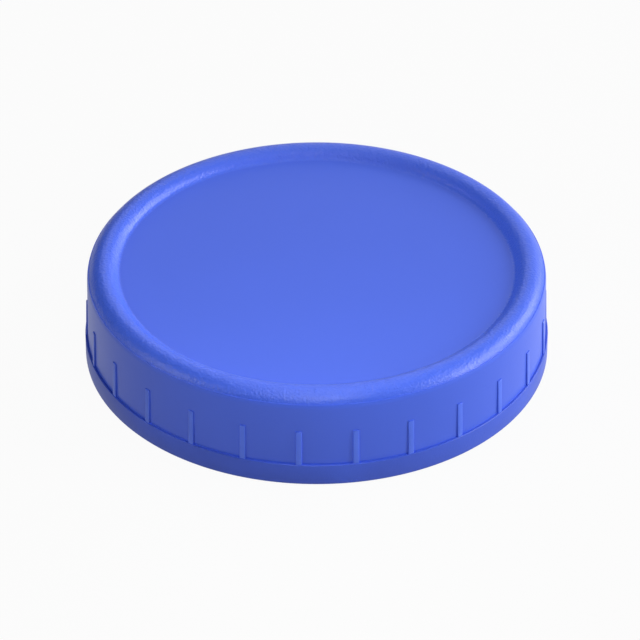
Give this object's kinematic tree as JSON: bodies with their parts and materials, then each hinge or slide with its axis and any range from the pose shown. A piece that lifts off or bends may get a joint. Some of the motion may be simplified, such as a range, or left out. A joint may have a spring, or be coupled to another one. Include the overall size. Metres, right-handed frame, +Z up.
{
  "type": "screw-on jar lid",
  "caption": "Round one-piece plastic screw lid for a preserving jar: sunk flat top, rounded rim, ribbed skirt, band at the foot and a thread inside.",
  "frame": {"origin": "middle of the foot, on the surface that the lid stands on", "axes": "+Z up along the lid's axis, out of the sunk top"},
  "size_m": [0.0746, 0.0746, 0.0164],
  "materials": {
    "blue_plastic": "moulded polypropylene, fine matte grain on the rim, satin skirt"
  },
  "bodies": {
    "root": {"lid": "blue_plastic"}
  },
  "joints": []
}
